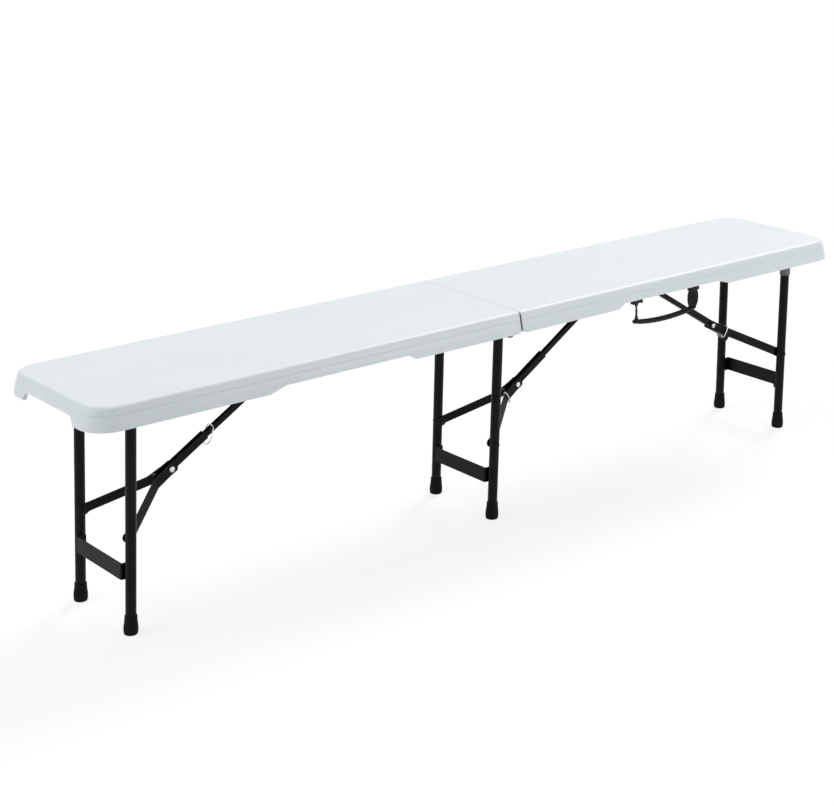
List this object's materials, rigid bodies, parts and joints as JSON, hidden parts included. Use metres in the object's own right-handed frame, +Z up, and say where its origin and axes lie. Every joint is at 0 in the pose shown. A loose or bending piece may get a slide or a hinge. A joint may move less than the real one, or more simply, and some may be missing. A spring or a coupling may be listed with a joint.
{
  "type": "folding bench",
  "caption": "Moulded plastic bench that folds in the middle into a carrying case, on three folding tubular leg frames with hinged braces.",
  "frame": {"origin": "on the floor under the middle of the seat, unfolded", "axes": "+X along the seat toward the end with the carry handle's half, +Y away from the carry handle, +Z up"},
  "size_m": [1.83, 0.31, 0.434],
  "materials": {
    "seat_plastic": "moulded, fine grain",
    "black_paint": "powder coated, satin",
    "rubber": "moulded, matt",
    "zinc": "zinc plated, bright",
    "black_plastic": "moulded, satin",
    "grey_plastic": "moulded, satin"
  },
  "bodies": {
    "left_half": {"seat_left": "seat_plastic", "left_saddle_near": "black_paint", "left_saddle_far": "black_paint", "seam_leaf_left_near": "black_paint", "seam_leaf_left_far": "black_paint", "left_brace_bracket": "black_paint", "left_brace_pin": "zinc"},
    "right_half": {"seat_right": "seat_plastic", "right_saddle_near": "black_paint", "right_saddle_far": "black_paint", "seam_leaf_right_near": "black_paint", "seam_leaf_right_far": "black_paint", "handle_base": "black_plastic", "right_brace_bracket": "black_paint", "right_brace_pin": "zinc", "mid_brace_bracket": "black_paint", "mid_brace_pin": "zinc"},
    "left_frame": {"left_legs": "black_paint", "left_foot_near": "rubber", "left_foot_far": "rubber", "left_rail": "black_paint", "left_leg_rivet_near": "black_paint", "left_leg_rivet_far": "black_paint"},
    "left_wishbone": {"left_arm_near": "black_paint", "left_arm_far": "black_paint", "left_joint_rivet_near": "zinc", "left_joint_rivet_far": "zinc"},
    "left_brace_link": {"left_link": "black_paint", "left_sleeve": "black_paint", "left_lock_ring": "zinc"},
    "mid_frame": {"mid_legs": "black_paint", "mid_foot_near": "rubber", "mid_foot_far": "rubber", "mid_rail": "black_paint", "mid_leg_rivet_near": "black_paint", "mid_leg_rivet_far": "black_paint", "seam_cap_near": "zinc", "seam_cap_far": "zinc"},
    "mid_wishbone": {"mid_arm_near": "black_paint", "mid_arm_far": "black_paint", "mid_joint_rivet_near": "zinc", "mid_joint_rivet_far": "zinc", "mid_lock_ring": "zinc"},
    "mid_brace_link": {"mid_link": "black_paint", "mid_sleeve": "black_paint"},
    "right_frame": {"right_legs": "black_paint", "right_foot_near": "rubber", "right_foot_far": "rubber", "right_rail": "black_paint", "right_leg_rivet_near": "black_paint", "right_leg_rivet_far": "black_paint", "right_leg_collar": "grey_plastic"},
    "right_wishbone": {"right_arm_near": "black_paint", "right_arm_far": "black_paint", "right_joint_rivet_near": "zinc", "right_joint_rivet_far": "zinc", "right_lock_ring": "zinc"},
    "right_brace_link": {"right_link": "black_paint", "right_sleeve": "black_paint"},
    "carry_handle": {"handle": "black_plastic"}
  },
  "joints": [
    {"name": "bench_fold", "type": "hinge", "parent": "left_half", "child": "right_half", "pos_m": [0, 0, 0.394], "axis": [0, 1, 0], "range_deg": [0, 180]},
    {"name": "left_leg_fold", "type": "hinge", "parent": "left_half", "child": "left_frame", "pos_m": [-0.8065, 0, 0.408], "axis": [0, -1, 0], "range_deg": [0, 93.3]},
    {"name": "left_wishbone_turn", "type": "hinge", "parent": "left_frame", "child": "left_wishbone", "pos_m": [-0.8201, 0, 0.17209], "axis": [0, -1, 0], "range_deg": [0, 58.91]},
    {"name": "left_link_turn", "type": "hinge", "parent": "left_half", "child": "left_brace_link", "pos_m": [-0.4075, 0, 0.408], "axis": [0, 1, 0], "range_deg": [0, 30.67]},
    {"name": "mid_leg_fold", "type": "hinge", "parent": "left_half", "child": "mid_frame", "pos_m": [0, 0, 0.394], "axis": [0, 1, 0], "range_deg": [0, 88.4]},
    {"name": "mid_wishbone_turn", "type": "hinge", "parent": "mid_frame", "child": "mid_wishbone", "pos_m": [-0.00668, 0, 0.15489], "axis": [0, -1, 0], "range_deg": [0, 58.84]},
    {"name": "mid_link_turn", "type": "hinge", "parent": "right_half", "child": "mid_brace_link", "pos_m": [0.402, 0, 0.408], "axis": [0, 1, 0], "range_deg": [0, 30.21]},
    {"name": "right_leg_fold", "type": "hinge", "parent": "right_half", "child": "right_frame", "pos_m": [0.8326, 0, 0.408], "axis": [0, 1, 0], "range_deg": [0, 91.3]},
    {"name": "right_wishbone_turn", "type": "hinge", "parent": "right_frame", "child": "right_wishbone", "pos_m": [0.83792, 0, 0.17356], "axis": [0, 1, 0], "range_deg": [0, 64.93]},
    {"name": "right_link_turn", "type": "hinge", "parent": "right_half", "child": "right_brace_link", "pos_m": [0.4276, 0, 0.408], "axis": [0, -1, 0], "range_deg": [0, 29.28]},
    {"name": "handle_swing", "type": "hinge", "parent": "right_half", "child": "carry_handle", "pos_m": [0.4075, -0.1339, 0.394], "axis": [-1, 0, 0], "range_deg": [0, 90]}
  ],
  "couplings": [
    {"joint": "left_leg_fold", "follows": "bench_fold", "ratio": 0.51833},
    {"joint": "left_wishbone_turn", "follows": "bench_fold", "ratio": 0.32725},
    {"joint": "left_link_turn", "follows": "bench_fold", "ratio": 0.17038},
    {"joint": "mid_leg_fold", "follows": "bench_fold", "ratio": 0.49111},
    {"joint": "mid_wishbone_turn", "follows": "bench_fold", "ratio": 0.32688},
    {"joint": "mid_link_turn", "follows": "bench_fold", "ratio": 0.16783},
    {"joint": "right_leg_fold", "follows": "bench_fold", "ratio": 0.50722},
    {"joint": "right_wishbone_turn", "follows": "bench_fold", "ratio": 0.36073},
    {"joint": "right_link_turn", "follows": "bench_fold", "ratio": 0.16268},
    {"joint": "handle_swing", "follows": "bench_fold", "ratio": 0.5}
  ]
}
